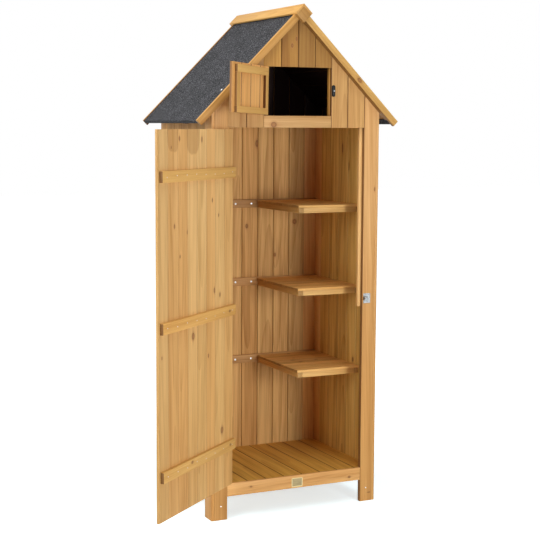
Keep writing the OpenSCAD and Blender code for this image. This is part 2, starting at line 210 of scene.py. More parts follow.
def noise(tree, vector, scale, detail=2.0):
    stretched = node(tree, "ShaderNodeMapping", {"Vector": vector, "Scale": scale}, vector_type="POINT")
    inputs = {"Vector": stretched.outputs[0], "Scale": 1.0, "Detail": detail}
    return node(tree, "ShaderNodeTexNoise", inputs).outputs["Fac"]


def attribute(tree, name, output="Vector"):
    return node(tree, "ShaderNodeAttribute", {}, attribute_name=name).outputs[output]


def steps(tree, value, stops):
    ramp = node(tree, "ShaderNodeValToRGB", {0: value})
    while len(ramp.color_ramp.elements) < len(stops):
        ramp.color_ramp.elements.new(1)
    for element, (place, paint) in zip(ramp.color_ramp.elements, stops):
        element.position = place
        element.color = paint
    return ramp


def new_finish(name):
    finish = bpy.data.materials.new(name)
    finish.use_nodes = True
    return finish, finish.node_tree, finish.node_tree.nodes["Principled BSDF"]


def bump(tree, shader, height, strength, distance):
    inputs = {"Height": height, "Strength": strength, "Distance": distance}
    tree.links.new(node(tree, "ShaderNodeBump", inputs).outputs[0], shader.inputs["Normal"])


# %% [markdown]
# ## Pine, cut from a log
# Pine shows rings because a board is a slice of a log. A picture of wood would repeat and slide,
# so this finish is solid: each board carries an attribute that says where in its log every point lies.
# The distance from the heart of the log gives the rings, which are pale and soft in spring wood and
# darker in summer wood. Long noise along the log adds broad bands, streaks and fibres.
# A knot is a branch that the saw cut across: the rings bend round it, it has a dark rim,
# and a brown streak runs out of it along the grain.
# The outer finishes grow darker and warmer towards the ground.
# The loft lies in deep shadow, so wood that lies over its floor and under the roof boards is painted almost
# black as shade. Five tests on the object's own coordinates find it.
# A dark patch is an attribute that also counts through the thickness, so it stays on one face of its board.

# %% The pine finish
ring_width = 6.5 * mm
knot_names = ("knot_a", "knot_b", "knot_c")
knot_bend = 5 * mm
knot_stops = [
    (0.0, (*colour(150, 98, 50)[:3], 0.75)),
    (0.15, (*colour(140, 88, 42)[:3], 0.8)),
    (0.23, (*colour(104, 60, 26)[:3], 0.85)),
    (0.29, (*colour(160, 108, 56)[:3], 0.5)),
    (0.5, (*colour(180, 126, 70)[:3], 0.0)),
]
seam_and_shade_colour = colour(92, 54, 20)
dark_patch_colour = colour(160, 112, 56)
knot_tail_colour = colour(166, 112, 56)
loft_shadow_colour = colour(66, 40, 32)
foot_tint = (0.94, 0.86, 0.66, 1)
foot_low, foot_top = 0.4, 1.25
loft_low, loft_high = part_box("loft_floor")


def in_the_loft(tree):
    spot = node(tree, "ShaderNodeTexCoord", {}).outputs["Object"]
    place = node(tree, "ShaderNodeSeparateXYZ", {0: spot})
    aside = calc(tree, "ABSOLUTE", place.outputs["X"])
    tests = [
        calc(tree, "LESS_THAN", aside, loft_high.x + 0.5 * mm),
        calc(tree, "GREATER_THAN", place.outputs["Y"], loft_low.y + 16 * mm),
        calc(tree, "LESS_THAN", place.outputs["Y"], loft_high.y + 0.5 * mm),
        calc(tree, "GREATER_THAN", place.outputs["Z"], loft_high.z - 0.5 * mm),
        calc(tree, "LESS_THAN", calc(tree, "ADD", aside, place.outputs["Z"]), roof_under / math.cos(pitch) + mm),
    ]
    found = tests[0]
    for test in tests[1:]:
        found = calc(tree, "MULTIPLY", found, test)
    return found


def pine(name, spring, summer, foot=0.0, contrast=1.4):
    finish, tree, shader = new_finish(name)
    log = attribute(tree, "grain")
    place = node(tree, "ShaderNodeSeparateXYZ", {0: log})
    side = place.outputs["X"]
    nearest, tail = 4.0, 4.0
    for knot in knot_names:
        offset = attribute(tree, knot)
        reach = node(tree, "ShaderNodeVectorMath", {0: offset}, operation="LENGTH").outputs["Value"]
        fade = calc(tree, "EXPONENT", calc(tree, "MULTIPLY", calc(tree, "MULTIPLY", reach, reach), -0.16))
        beside = node(tree, "ShaderNodeSeparateXYZ", {0: offset}).outputs["X"]
        push = calc(tree, "MULTIPLY", calc(tree, "MULTIPLY", beside, fade), -knot_bend)
        side = calc(tree, "ADD", side, push)
        nearest = calc(tree, "MINIMUM", reach, nearest)
        drawn = node(tree, "ShaderNodeVectorMath", {0: offset, 1: (0.9, 1, 0.25)}, operation="MULTIPLY").outputs[0]
        drawn = node(tree, "ShaderNodeVectorMath", {0: drawn}, operation="LENGTH").outputs["Value"]
        tail = calc(tree, "MINIMUM", drawn, tail)
    across = node(tree, "ShaderNodeCombineXYZ", {"X": side, "Y": place.outputs["Y"]}).outputs[0]
    radius = node(tree, "ShaderNodeVectorMath", {0: across}, operation="LENGTH").outputs["Value"]
    wander = calc(tree, "MULTIPLY_ADD", noise(tree, log, (11, 11, 1.6)), 0.012, radius)
    ring = calc(tree, "FRACT", calc(tree, "DIVIDE", wander, ring_width))
    summer_wood = calc(tree, "POWER", ring, 2.6)
    band = noise(tree, log, (17, 17, 0.9), 1.0)
    streak = noise(tree, log, (52, 52, 1.6), 3.0)
    fibre = noise(tree, log, (330, 330, 5), 3.0)
    depth = calc(tree, "MULTIPLY_ADD", summer_wood, 0.2, -0.85)
    depth = calc(tree, "MULTIPLY_ADD", band, 0.6, depth)
    depth = calc(tree, "MULTIPLY_ADD", streak, 1.0, depth)
    depth = calc(tree, "MULTIPLY_ADD", fibre, 0.7, depth)
    depth = calc(tree, "MULTIPLY_ADD", depth, contrast, 0.3 * (1 - contrast))
    paint = mixed(tree, depth, spring, summer)
    spot = node(tree, "ShaderNodeTexCoord", {}).outputs["Object"]
    height = node(tree, "ShaderNodeSeparateXYZ", {0: spot}).outputs["Z"]
    # The finish grows darker and warmer towards the ground.
    toward_ground = node(tree, "ShaderNodeMapRange", {"Value": height, 1: foot_top, 2: foot_low, 3: 0.0, 4: foot})
    paint = mixed(tree, toward_ground.outputs[0], paint, foot_tint, "MULTIPLY")
    paint = mixed(tree, 1.0, paint, attribute(tree, "tone", "Color"), "MULTIPLY")
    patch_reach = node(tree, "ShaderNodeSeparateXYZ", {0: attribute(tree, "dark_patch")})
    spread = [calc(tree, "POWER", calc(tree, "ABSOLUTE", patch_reach.outputs[axis]), 3.0) for axis in "XYZ"]
    flat_spread = calc(tree, "ADD", spread[0], spread[2])
    ragged = calc(tree, "MULTIPLY_ADD", streak, 0.5, calc(tree, "ADD", flat_spread, spread[1]))
    dark_patch = node(tree, "ShaderNodeMapRange", {"Value": ragged, 1: 1.34, 2: 1.12, 3: 0.0, 4: 0.42})
    paint = mixed(tree, dark_patch.outputs[0], paint, dark_patch_colour)
    tail = node(tree, "ShaderNodeMapRange", {"Value": tail, 1: 1.0, 2: 0.2, 3: 0.0, 4: 0.4})
    paint = mixed(tree, tail.outputs[0], paint, knot_tail_colour)
    knot = steps(tree, calc(tree, "MULTIPLY", nearest, 0.25), knot_stops)
    paint = mixed(tree, knot.outputs["Alpha"], paint, knot.outputs["Color"])
    # The shade attribute mixes in a dark colour: dark joints and end grain, and painted shade on faces in shadow.
    paint = mixed(tree, attribute(tree, "shade", "Fac"), paint, seam_and_shade_colour)
    # Wood inside the loft is painted almost black as shade.
    paint = mixed(tree, in_the_loft(tree), paint, loft_shadow_colour)
    tree.links.new(paint, shader.inputs["Base Color"])
    shine = node(tree, "ShaderNodeMapRange", {"Value": streak, 3: 0.48, 4: 0.66})
    tree.links.new(shine.outputs[0], shader.inputs["Roughness"])
    shader.inputs["Specular IOR Level"].default_value = 0.35
    bump(tree, shader, calc(tree, "MULTIPLY_ADD", fibre, 0.6, summer_wood), 0.18, 0.4 * mm)
    return finish


finishes = {
    "outside": pine("pine_outside", colour(200, 154, 92), colour(163, 112, 55), 1.0),
    "gable": pine("pine_gable", colour(174, 128, 58), colour(136, 88, 30)),
    "door": pine("pine_door", colour(224, 180, 118), colour(186, 138, 76), 0.6),
    "ledge": pine("pine_ledge", colour(221, 175, 100), colour(188, 134, 64), 0.2),
    "post": pine("pine_post", colour(231, 181, 118), colour(195, 140, 77), 1.0),
    "sill": pine("pine_sill", colour(230, 178, 113), colour(187, 129, 67), 0.4),
    "loft_sill": pine("pine_loft_sill", colour(215, 170, 111), colour(174, 123, 66)),
    "ridge": pine("pine_ridge", colour(246, 195, 114), colour(212, 150, 70)),
    "verge": pine("pine_verge", colour(206, 158, 86), colour(170, 117, 50)),
    "block": pine("pine_block", colour(178, 134, 72), colour(146, 98, 42)),
    # The rear verges get a darker copy of the verge pine, painted shade for the far gable.
    "rear": pine("pine_rear_shaded", colour(128, 86, 46), colour(98, 62, 30)),
    "inside": pine("pine_inside", colour(222, 176, 108), colour(166, 116, 54), contrast=1.6),
    "side": pine("pine_side", colour(222, 186, 109), colour(167, 125, 51), contrast=1.7),
    "floor": pine("pine_floor", colour(222, 172, 80), colour(174, 120, 38)),
    "shelf": pine("pine_shelf", colour(236, 188, 114), colour(186, 132, 62)),
    "batten": pine("pine_batten", colour(202, 156, 98), colour(160, 112, 60)),
    "strip": pine("pine_strip", colour(244, 198, 130), colour(214, 160, 95)),
}
print("pine finishes:", ", ".join(finishes))

# %% [markdown]
# ## One board
# A board could be a stretched cube, but real boards have worked edges that catch light.
# So the cube's long edges are bevelled: a flat chamfer makes the V of a matched joint,
# a few segments make the soft edge of a planed batten.
# A matched board also has a tongue. Its side face is extruded in place, squeezed to a third of the
# thickness and extruded again, which closes the joint so that no light leaks through the wall.

# %% One board
tongue_share = 1 / 3
tongue_trim = 0.4 * mm


def only(piece):
    bpy.ops.object.select_all(action="DESELECT")
    piece.select_set(True)
    bpy.context.view_layer.objects.active = piece


def pick(piece, kind, test):
    bpy.ops.mesh.select_mode(type=kind)
    bpy.ops.mesh.select_all(action="DESELECT")
    shape = bmesh.from_edit_mesh(piece.data)
    for part in shape.faces if kind == "FACE" else shape.edges:
        if test(part):
            part.select_set(True)
    bmesh.update_edit_mesh(piece.data)


def runs_along(edge):
    step = edge.verts[1].co - edge.verts[0].co
    return abs(step.z) > 0.9 * step.length


def planed_board(size, edge, segments, tongue):
    bpy.ops.object.select_all(action="DESELECT")
    bpy.ops.mesh.primitive_cube_add(size=1, location=size / 2, scale=size)
    board = bpy.context.object
    bpy.ops.object.transform_apply(location=True, rotation=False, scale=True)
    bpy.ops.object.mode_set(mode="EDIT")
    if segments > 1:
        pick(board, "EDGE", lambda e: True)
    else:
        pick(board, "EDGE", runs_along)
    bpy.ops.mesh.bevel(offset=edge, segments=segments, affect="EDGES")
    if tongue:
        pick(board, "FACE", lambda f: f.normal.x < -0.9)
        bpy.ops.mesh.extrude_region_move(TRANSFORM_OT_translate={"value": (0, 0, 0)})
        squeeze = (1, tongue_share, 1 - 2 * tongue_trim / size.z)
        bpy.ops.transform.resize(value=squeeze, center_override=(0, size.y / 2, size.z / 2))
        bpy.ops.mesh.extrude_region_move(TRANSFORM_OT_translate={"value": (-tongue, 0, 0)})
    bpy.ops.object.mode_set(mode="OBJECT")
    return board


def copy_of(piece, name):
    copy = piece.copy()
    copy.data = piece.data.copy()
    copy.name = name
    scene.collection.objects.link(copy)
    return copy


def laid(board, place, cuts):
    only(board)
    board.matrix_world = place
    bpy.ops.object.transform_apply(location=True, rotation=True, scale=True)
    for spot, outward in cuts:
        bpy.ops.object.mode_set(mode="EDIT")
        bpy.ops.mesh.select_all(action="SELECT")
        bpy.ops.mesh.bisect(plane_co=spot, plane_no=outward, use_fill=True, clear_outer=True)
        bpy.ops.object.mode_set(mode="OBJECT")


# %% [markdown]
# ## Seasoning a board
# Each board remembers the log that it came from: how far its face lies from the heart, how the log
# leaned, how pale it is, and where its knots are. This is written as attributes on its points,
# in the board's own directions, so the grain turns with the board.
# A knot's attribute is the distance to it, counted in its own radius, which the finish can read directly.
# A face attribute darkens the sides of the joints and the end grain, and paints shade on chosen faces that lie in
# shadow.
# The luck of a board starts from its own place, so a change to one board leaves the others as they are.

# %% Seasoning a board
far_away = 99.0
end_shade = 0.42
tone_spread = 0.1


def write_vectors(board, name, rows):
    layer = board.data.attributes.new(name, "FLOAT_VECTOR", "POINT")
    layer.data.foreach_set("vector", [value for row in rows for value in row])


def write_numbers(board, name, domain, numbers):
    layer = board.data.attributes.new(name, "FLOAT", domain)
    layer.data.foreach_set("value", numbers)


def tone_of(light, warm):
    return (light * (1 + 0.015 * warm), light * (1 - 0.02 * warm), light * (1 - 0.06 * warm))


def any_tone():
    return tone_of(1 + luck.uniform(-tone_spread, tone_spread), luck.uniform(-1, 1))


def season(board, place, size, knots, dark_patches, shades, tone):
    luck.seed(str([round(value, 3) for value in place.translation]))
    to_board = place.inverted()
    local = [to_board @ v.co for v in board.data.vertices]
    heart = Vector((luck.uniform(-45, 45) * mm, luck.uniform(25, 95) * mm, luck.uniform(0, 40)))
    lean_x, lean_y = luck.uniform(-0.03, 0.03), luck.uniform(-0.03, 0.03)
    middle = Vector((size.x / 2, 0, size.z / 2))
    rows = []
    for spot in local:
        step = spot - middle
        rows.append(heart + step + Vector((lean_x * step.z, lean_y * step.z, 0)))
    write_vectors(board, "grain", rows)
    for i, name in enumerate(knot_names):
        if i < len(knots):
            x, z, radius, long = knots[i]
            near = [((p.x - x) / radius, 0, (p.z - z) / radius / long) for p in local]
        else:
            near = [(far_away, 0, 0)] * len(local)
        write_vectors(board, name, near)
    dark_patch = [(far_away, 0, 0)] * len(local)
    for x, z, half_x, half_z in dark_patches:
        dark_patch = [((p.x - x) / half_x, 2 - 2 * p.y / size.y, (p.z - z) / half_z) for p in local]
    write_vectors(board, "dark_patch", dark_patch)
    write_vectors(board, "tone", [tone] * len(local))
    turn = to_board.to_3x3()
    low_side, high_side, ends = shades
    shade = []
    for face in board.data.polygons:
        normal = turn @ face.normal
        flank = low_side if normal.x < 0 else high_side
        if abs(normal.z) > 0.9:
            shade.append(ends)
        elif (to_board @ face.center).x < -0.01 * mm:
            shade.append(low_side)
        elif abs(normal.x) > 0.3:
            shade.append(min(1, 1.6 * flank) if abs(normal.x) > 0.95 else flank)
        else:
            shade.append(0)
    write_numbers(board, "shade", "FACE", shade)


def stray_knots(size):
    found = []
    while luck.random() < 0.45 and len(found) < len(knot_names):
        x = luck.uniform(0.15, 0.85) * size.x
        found.append((x, luck.uniform(0.05, 0.95) * size.z, luck.uniform(2.5, 5) * mm, luck.uniform(1.1, 1.8)))
    return found


# %% [markdown]
# ## A piece made of boards
# Boards of one panel are nailed together and never move apart, so they are joined into one piece.
# It rides on the same body as the slab that it stands for, and takes the slab's place in the picture.
# Equal boards are planed once and copied, each copy with its own mesh, because each gets its own grain.

# %% A piece made of boards
joint_gap = 1.3 * mm
body_of = {name: piece["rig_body"] for name, piece in frame["nodes"].items()}


def joined(pieces, name):
    bpy.ops.object.select_all(action="DESELECT")
    for piece in pieces:
        piece.select_set(True)
    bpy.context.view_layer.objects.active = pieces[0]
    if len(pieces) > 1:
        bpy.ops.object.join()
    pieces[0].name = name
    pieces[0].data.name = name
    return pieces[0]


def dressed(piece, finish, *names):
    piece.data.materials.clear()
    piece.data.materials.append(finish)
    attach(piece, body_of[names[0]])
    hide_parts(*names)
    return piece


def inside(value, low, high):
    return low <= value < high


def row_of_boards(panel, joints, edge, seam_shade, cuts=(), knots=None, dark_patches=(), tones=(), rim_shade=0):
    place, size = panel
    edges = [0, *joints, size.x]
    models, boards = {}, []
    for i, (start, end) in enumerate(zip(edges, edges[1:])):
        gap = joint_gap if start else 0
        board_size = Vector((end - start - gap, size.y, size.z))
        key = (round(board_size.x, 5), gap)
        if key not in models:
            models[key] = planed_board(board_size, edge, 1, gap)
        board = copy_of(models[key], "board")
        spot = place @ Matrix.Translation((start + gap, 0, 0))
        laid(board, spot, cuts)
        if knots is None:
            own = stray_knots(board_size)
        else:
            own = [(x - start - gap, z, r, long) for x, z, r, long in knots if inside(x, start, end)]
        spots = [(x - start - gap, z, a, b) for x, z, a, b in dark_patches if x - a < end and x + a > start]
        shades = (seam_shade if start else rim_shade, seam_shade if end < size.x else rim_shade, end_shade)
        tone = tone_of(*tones[i]) if tones else any_tone()
        season(board, spot, board_size, own, spots, shades, tone)
        boards.append(board)
    for model in models.values():
        bpy.data.objects.remove(model)
    return boards


def batten(panel, edge, cuts=(), knots=(), shades=(0, 0, end_shade), tone=None):
    place, size = panel
    board = planed_board(size, edge, 2, 0)
    laid(board, place, cuts)
    season(board, place, size, knots, (), shades, tone_of(*tone) if tone else any_tone())
    return board


def in_mm(rows, plain=0):
    scaled = [[value * mm for value in row] for row in rows]
    return [(*row[:len(row) - plain], *(value / mm for value in row[len(row) - plain:])) for row in scaled]


def even_joints(width, count):
    return [width * i / count for i in range(1, count)]


def softened(piece):
    only(piece)
    bpy.ops.object.shade_smooth_by_angle(angle=math.radians(40))
    return piece


# %% [markdown]
# ## Posts and stiles
# The shed stands on upright boards that run down past the walls as legs.
# Each is a single planed batten with soft edges. They end under the roof, so they are sawn off
# along the underside of the roof boards with a bisect, as a saw would do it.
# The posts beside the doorway are backed by a second, shorter board that stops under the gable.

# %% Posts and stiles
soft_edge = 1.4 * mm
upright_knots = {
    "front_post_right": in_mm([(46, 1149, 3, 2), (38, 31, 6, 0.25)], 1),
    "front_post_left": in_mm([(20, 700, 4, 1.5)], 1),
}
# The right post's side that faces into the doorway is painted darker as shade.
post_shades = {"front_post_left": (0, 0, end_shade), "front_post_right": (0.5, 0, end_shade)}
post_tones = {"front_post_left": (0.8, 0.3), "front_post_right": (0.9, 0.0)}
uprights = {
    "front_stile_left": right, "rear_stile_left": right,
    "front_stile_right": left, "rear_stile_right": left,
    "back_post_left": front, "back_post_right": front,
}
for name, through in uprights.items():
    upright = batten(slab(name, up, through), soft_edge, roof_cuts)
    dressed(softened(joined([upright], name + "_wood")), finishes["post"], name)

for name in ("front_post_left", "front_post_right"):
    low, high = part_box(name)
    seam_y = levels(name, back)[1]
    backing_top = max(spot.z for spot in points(name) if spot.y > seam_y + mm)
    face = measured([low, Vector((high.x, seam_y, high.z))], up, back)
    backing = measured([Vector((low.x, seam_y, low.z)), Vector((high.x, high.y, backing_top))], up, back)
    shades = post_shades[name]
    tone = post_tones[name]
    boards = [
        batten(face, soft_edge, roof_cuts, upright_knots[name], shades, tone),
        batten(backing, soft_edge, (), (), shades, tone),
    ]
    dressed(softened(joined(boards, name + "_wood")), finishes["post"], name)
print("uprights:", len(uprights) + 2)

# %% [markdown]
# ## Walls
# The walls are matched boards, about 65 mm wide, with a V at every joint.
# They stand between the stiles and posts. One function lays a row of boards over a measured slab,
# and the roof's underside cuts their tops. The outer faces were stained with the rest of the outside,
# so they get that finish as a second material.

# %% Walls
wall_edge = 1.8 * mm
wall_seam, inner_seam = 0.42, 0.22
side_boards, back_boards = 5, 8
back_wall_knots = in_mm([(42, 920, 8, 1.1), (205, 1224, 6, 2), (247, 908, 5, 1.5), (127, 793, 4, 1.6)], 1)
right_wall_knots = in_mm([(189, 1210, 4, 4), (138, 1144, 3, 5), (90, 420, 5, 1.5)], 1)
right_wall_tones = [(1.14, 0.3), (1.22, -0.5), (1.08, 0.9), (1.2, -0.3), (1.14, 0.5)]
back_wall_tones = [
    (0.86, -0.4), (0.97, 0.2), (0.99, -0.2), (0.98, 1.8), (1.04, 0.6), (1.0, 0.2), (1.03, -0.3), (1.0, 0.2),
]
walls = [
    ("left_wall", right, side_boards, None, "outside", wall_seam, ()),
    ("right_wall", left, side_boards, right_wall_knots, "side", inner_seam, right_wall_tones),
    ("back_wall", front, back_boards, back_wall_knots, "inside", inner_seam, back_wall_tones),
]
for name, through, count, knots, finish, seam, tones in walls:
    panel = slab(name, up, through)
    joints = even_joints(panel[1].x, count)
    boards = row_of_boards(panel, joints, wall_edge, seam, roof_cuts, knots, (), tones)
    wall = dressed(joined(boards, name + "_wood"), finishes[finish], name)
    wall.data.materials.append(finishes["outside"])
    for face in wall.data.polygons:
        face.material_index = 1 if face.normal.dot(through) < -0.5 else 0
    print(name, "boards:", len(boards))

# %% [markdown]
# ## The front over and under the doorway
# The gable's boards keep one rhythm across the whole front: a joint in the middle and one at every
# 65.5 mm. The slabs beside and over the loft opening are therefore divided where that rhythm crosses them.
# The boards under the loft opening and under the doorway lie flat and are single battens.
# The side of the board that looks into the loft opening lies in shadow, so it is painted darker as shade.

# %% The front over and under the doorway
front_rhythm = 65.5 * mm
least_board = 8 * mm
# Painted shade on the jamb face of the board beside the loft opening.
jamb_shade = 0.8
gable_knots = {
    "gable_top": in_mm([(107, 73, 4, 1.6), (124, 96, 3, 2)], 1),
    "gable_left": [],
    "gable_right": [],
}
gable_tones = {
    "gable_top": [(1.32, -0.8), (0.89, 1.8), (0.78, 0.9), (0.93, -0.4)],
    "gable_left": [(0.8, 0.2), (0.84, 0.4)],
}
for name, knots in gable_knots.items():
    panel = slab(name, up, back)
    low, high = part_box(name)
    crossings = [k * front_rhythm for k in range(-5, 6)]
    joints = [x - low.x for x in crossings if low.x + least_board < x < high.x - least_board]
    tones = gable_tones.get(name, ())
    jamb = jamb_shade if name == "gable_right" else 0
    boards = row_of_boards(panel, joints, wall_edge, wall_seam, roof_cuts, knots, (), tones, jamb)
    dressed(joined(boards, name + "_wood"), finishes["gable" if name == "gable_top" else "outside"], name)
    print(name, "boards:", len(boards))

flat_boards = {
    "loft_sill": in_mm([(31, 38, 9, 1.1)], 1),
    "front_sill": in_mm([(20, 91, 2.4, 1.6), (30, 486, 3.6, 1.3)], 1),
}
flat_tones = {"loft_sill": (0.88, 0.2), "front_sill": (1.03, -0.4)}
for name, knots in flat_boards.items():
    flat = batten(slab(name, right, back), soft_edge, (), knots, tone=flat_tones[name])
    finish = finishes["sill" if name == "front_sill" else name]
    dressed(softened(joined([flat], name + "_wood")), finish, name)
print("flat boards:", len(flat_boards))

# %% [markdown]
# ## Floors and what carries them
# Floor boards run from the front to the back. The two outer ones are notched round the posts:
# a bisect divides the end face where the post stands, and the free part is extruded to the sill.
# Bearers, rails and stop strips are plain battens. The stop of the loft door is a thinner strip than the rest.

# %% Floors and what carries them
floor_first, floor_step, floor_boards = 58.2 * mm, 71.8 * mm, 9
floor_edge = 1.6 * mm
floor_seam = 0.8
loft_stop_trim = 3 * mm


def notched_board(size, notch_x, notch_z, free_side):
    board = planed_board(Vector((size.x, size.y, size.z - notch_z)), floor_edge, 1, 0)
    bpy.ops.object.mode_set(mode="EDIT")
    bpy.ops.mesh.select_all(action="SELECT")
    bpy.ops.transform.translate(value=(0, 0, notch_z))
    bpy.ops.mesh.bisect(plane_co=(notch_x, 0, 0), plane_no=(1, 0, 0))
    pick(board, "FACE", lambda f: f.normal.z < -0.9 and free_side * (f.calc_center_median().x - notch_x) > 0)
    bpy.ops.mesh.extrude_region_move(TRANSFORM_OT_translate={"value": (0, 0, -notch_z)})
    bpy.ops.object.mode_set(mode="OBJECT")
    return board


panel = slab("floor", back, down)
place, size = panel
crossings = [floor_first + i * floor_step for i in range(floor_boards - 1)]
post_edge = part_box("front_sill")[0].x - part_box("floor")[0].x
notch_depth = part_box("front_post_left")[1].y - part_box("floor")[0].y
middle_panel = part_of(panel, (crossings[0], 0, 0), (crossings[-1], None, None))
joints = [x - crossings[0] for x in crossings[1:-1]]
floor_wood = row_of_boards(middle_panel, joints, floor_edge, floor_seam, knots=())
for start, end, free_side in ((0, crossings[0] - joint_gap, 1), (crossings[-1] + joint_gap, size.x, -1)):
    outer_size = Vector((end - start, size.y, size.z))
    notch_x = post_edge if free_side > 0 else outer_size.x - post_edge
    board = notched_board(outer_size, notch_x, notch_depth, free_side)
    spot = place @ Matrix.Translation((start, 0, 0))
    laid(board, spot, ())
    season(board, spot, outer_size, (), (), (floor_seam, floor_seam, end_shade), any_tone())
    floor_wood.append(board)
dressed(joined(floor_wood, "floor_wood"), finishes["floor"], "floor")

panel = slab("loft_floor", back, down)
loft_wood = row_of_boards(panel, even_joints(panel[1].x, floor_boards), floor_edge, floor_seam)
dressed(joined(loft_wood, "loft_floor_wood"), finishes["inside"], "loft_floor")

plain_battens = {
    "floor_bearer_left": (back, right), "floor_bearer_right": (back, left),
    "head_rail": (right, back), "door_stop": (up, back), "loft_stop": (up, back),
}
strip_finish = {"door_stop": "strip", "loft_stop": "gable"}
for name, (along, through) in plain_battens.items():
    panel = slab(name, along, through)
    if name == "loft_stop":
        panel = part_of(panel, (loft_stop_trim, 0, 0), (None, None, None))
    strip = batten(panel, soft_edge)
    finish = finishes[strip_finish.get(name, "batten")]
    dressed(softened(joined([strip], name + "_wood")), finish, name)
print("floor boards:", floor_boards, "battens:", len(plain_battens))

# %% [markdown]
# ## Shelves
# Each shelf is five slats on three battens: two run from front to back, one closes the front.
# The slabs under a shelf are one U-shaped piece, so its inner corners are read from the levels of its points.
# Ledges screwed across the back wall carry the shelves' rear edges.

# %% Shelves
slats = 5
slat_edge = 1.0 * mm
slat_seam = 0.45
shelf_tones = {"low": (0.97, -0.4), "middle": (0.86, -0.4), "top": (0.79, -0.2)}
for height in ("low", "middle", "top"):
    name = "shelf_" + height
    panel = slab(name, right, down)
    boards = row_of_boards(panel, even_joints(panel[1].x, slats), slat_edge, slat_seam)
    dressed(joined(boards, name + "_wood"), finishes["shelf"], name)

    name = "shelf_frame_" + height
    x = levels(name, right)
    y = levels(name, back)
    low_z, high_z = levels(name, up)
    corner = lambda a, b: [Vector((a[0], a[1], low_z)), Vector((b[0], b[1], high_z))]
    battens = [
        batten(measured(corner((x[0], y[0]), (x[1], y[2])), back, down), soft_edge, tone=shelf_tones[height]),
        batten(measured(corner((x[2], y[0]), (x[3], y[2])), back, down), soft_edge, tone=shelf_tones[height]),
        batten(measured(corner((x[1], y[0]), (x[2], y[1])), right, back), soft_edge, tone=shelf_tones[height]),
    ]
    dressed(softened(joined(battens, name + "_wood")), finishes["shelf"], name)

low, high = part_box("back_ledges")
heights = levels("back_ledges", up)
back_ledge_tones = [(1.0, 0.2), (1.12, 0.4), (0.8, 1.6), (1.0, 0.2)]
ledges = []
for bottom, top, tone in zip(heights[::2], heights[1::2], back_ledge_tones):
    ends = [Vector((low.x, low.y, bottom)), Vector((high.x, high.y, top))]
    ledges.append(batten(measured(ends, right, back), soft_edge, tone=tone))
dressed(softened(joined(ledges, "back_ledges_wood")), finishes["batten"], "back_ledges")
print("shelves with slats:", 3 * slats, "back ledges:", len(ledges))

# %% [markdown]
# ## Roof boards, verges and ridge
# The roof boards run from front to back under the felt. The verges follow the slopes at both gables
# and meet at the middle of the roof, so a bisect at the middle plane mitres them.
# Two boards cap the ridge in the same way, and a square block on edge closes the cap at each end.
# The upper faces of the verges, where the light falls, get the ridge's paler finish as a second material: a painted
# highlight.

# %% Roof boards, verges and ridge
roof_boards = 8
ridge_edge = 1.2 * mm
# The undersides of the verges are painted darker as shade.
verge_shade = 0.45
verge_tones = {"left": (0.88, 0.4), "right": (1.04, -1.6)}
middle_cut = {"left": [(Vector(), right)], "right": [(Vector(), left)]}
fall = {"left": fall_left, "right": fall_right}
outward = {"left": out_left, "right": out_right}
run = {"left": front, "right": back}
ridge_knots = {"left": (), "right": in_mm([(20, 300, 4, 1.5)], 1)}
verge_knots = {"verge_front_right": in_mm([(11, 336, 6, 1.6)], 1)}
for side in ("left", "right"):
    name = "roof_" + side
    panel = slab(name, run[side], -outward[side])
    boards = row_of_boards(panel, even_joints(panel[1].x, roof_boards), floor_edge, floor_seam, middle_cut[side])
    dressed(joined(boards, name + "_wood"), finishes["inside"], name)
    name = "ridge_" + side
    cap = batten(slab(name, run[side], -outward[side]), ridge_edge, middle_cut[side], ridge_knots[side])
    dressed(softened(joined([cap], name + "_wood")), finishes["ridge"], name)
    for end, through in (("front", back), ("back", front)):
        name = f"verge_{end}_{side}"
        spots = points(name)
        panel = slab(name, fall[side], through)
        near, seam, far = levels(name, back)
        lip, wall = (seam - near, far) if end == "front" else (far - seam, near)
        under = roof_under - min(outward[side].dot(spot) for spot in spots)
        start = min(fall[side].dot(spot) for spot in spots)
        length = max(fall[side].dot(spot) for spot in spots if abs(spot.y - wall) < mm) - start
        lower_first = (side == "left") == (end == "front")
        low_x, high_x = (0, under) if lower_first else (panel[1].x - under, panel[1].x)
        lip_panel = part_of(panel, (0, 0, 0), (None, lip, None))
        backing_panel = part_of(panel, (low_x, lip, 0), (high_x, None, length))
        # Painted shade on the verge's underside; the ends are end grain.
        shades = (verge_shade, 0, end_shade) if lower_first else (0, verge_shade, end_shade)
        strips = [
            batten(lip_panel, ridge_edge, middle_cut[side], verge_knots.get(name, ()), shades, verge_tones[side]),
            batten(backing_panel, ridge_edge, middle_cut[side], (), shades, verge_tones[side]),
        ]
        verge = softened(joined(strips, name + "_wood"))
        # Rear verges take the darker pine, painted shade.
        dressed(verge, finishes["verge" if end == "front" else "rear"], name)
        # Painted highlight: the upper faces get the ridge's paler finish.
        verge.data.materials.append(finishes["ridge"])
        for face in verge.data.polygons:
            face.material_index = int(face.normal.dot(outward[side]) > 0.9)

blocks = []
for sign in (-1, 1):
    spots = [spot for spot in points("ridge_ends") if sign * spot.y > 0]
    blocks.append(batten(measured(spots, fall_right, back), ridge_edge))
dressed(softened(joined(blocks, "ridge_ends_wood")), finishes["block"], "ridge_ends")
print("roof boards:", 2 * roof_boards)

# %% [markdown]
# ## Felt
# The felt is one sheet: over the ridge, down both slopes, over the eaves and back under them.
# It is drawn as a thin plane on the right slope, and the edge at the eaves is extruded twice,
# down over the boards' ends and back under them. The two bends are bevelled, because felt doesn't fold sharply.
# The left half is a mirrored copy. The halves are merged at the ridge, the sheet is subdivided and
# lightly displaced so that it lies as felt does, and then it gets its thickness.

